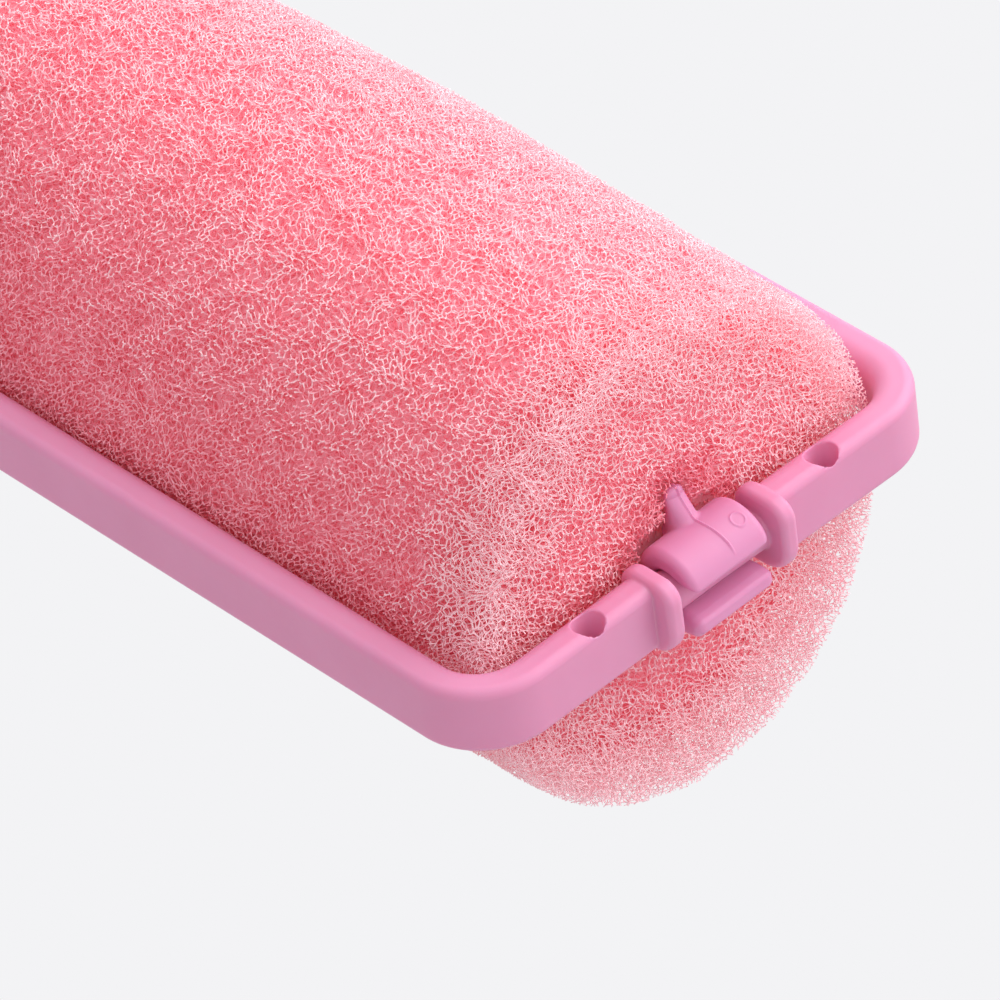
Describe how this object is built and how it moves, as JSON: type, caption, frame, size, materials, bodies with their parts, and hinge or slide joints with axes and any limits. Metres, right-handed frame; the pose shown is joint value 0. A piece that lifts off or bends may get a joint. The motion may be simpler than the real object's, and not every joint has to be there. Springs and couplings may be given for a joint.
{
  "type": "foam hair roller",
  "caption": "Soft foam cylinder on a plastic core, closed by a hinged rectangular loop that snaps into a clip with a thumb tab.",
  "frame": {"origin": "on the roller's long axis, midway between the hinge pin and the latch pin", "axes": "+X from the hinge to the latch clip, +Z to the side the thumb tab stands on, loop in the XY plane when closed"},
  "size_m": [0.081, 0.044, 0.0376],
  "materials": {
    "foam": "matte",
    "loop_plastic": "satin",
    "core_plastic": "satin"
  },
  "bodies": {
    "core": {"foam_sleeve": "foam", "core_rod": "core_plastic", "hinge_eye": "core_plastic", "clip_neck": "core_plastic", "lower_jaw": "core_plastic"},
    "jaw": {"upper_jaw": "core_plastic", "thumb_tab": "core_plastic"},
    "loop": {"side_bar_left": "loop_plastic", "side_bar_right": "loop_plastic", "latch_corner_left": "loop_plastic", "latch_corner_right": "loop_plastic", "hinge_corner_left": "loop_plastic", "hinge_corner_right": "loop_plastic", "latch_bar_left": "loop_plastic", "latch_bar_right": "loop_plastic", "hinge_bar_left": "loop_plastic", "hinge_bar_right": "loop_plastic", "latch_collar_left": "loop_plastic", "latch_collar_right": "loop_plastic", "hinge_collar_left": "loop_plastic", "hinge_collar_right": "loop_plastic", "latch_pin": "loop_plastic", "hinge_pin": "loop_plastic"}
  },
  "joints": [
    {"name": "frame_hinge", "type": "hinge", "parent": "core", "child": "loop", "pos_m": [-0.0376, 0, 0], "axis": [0, -1, 0], "range_deg": [0, 180]},
    {"name": "jaw_flex", "type": "hinge", "parent": "core", "child": "jaw", "pos_m": [0.0353, 0, 0.0002], "axis": [0, -1, 0], "range_deg": [0, 14], "stiffness_Nm_per_rad": 0.02}
  ]
}
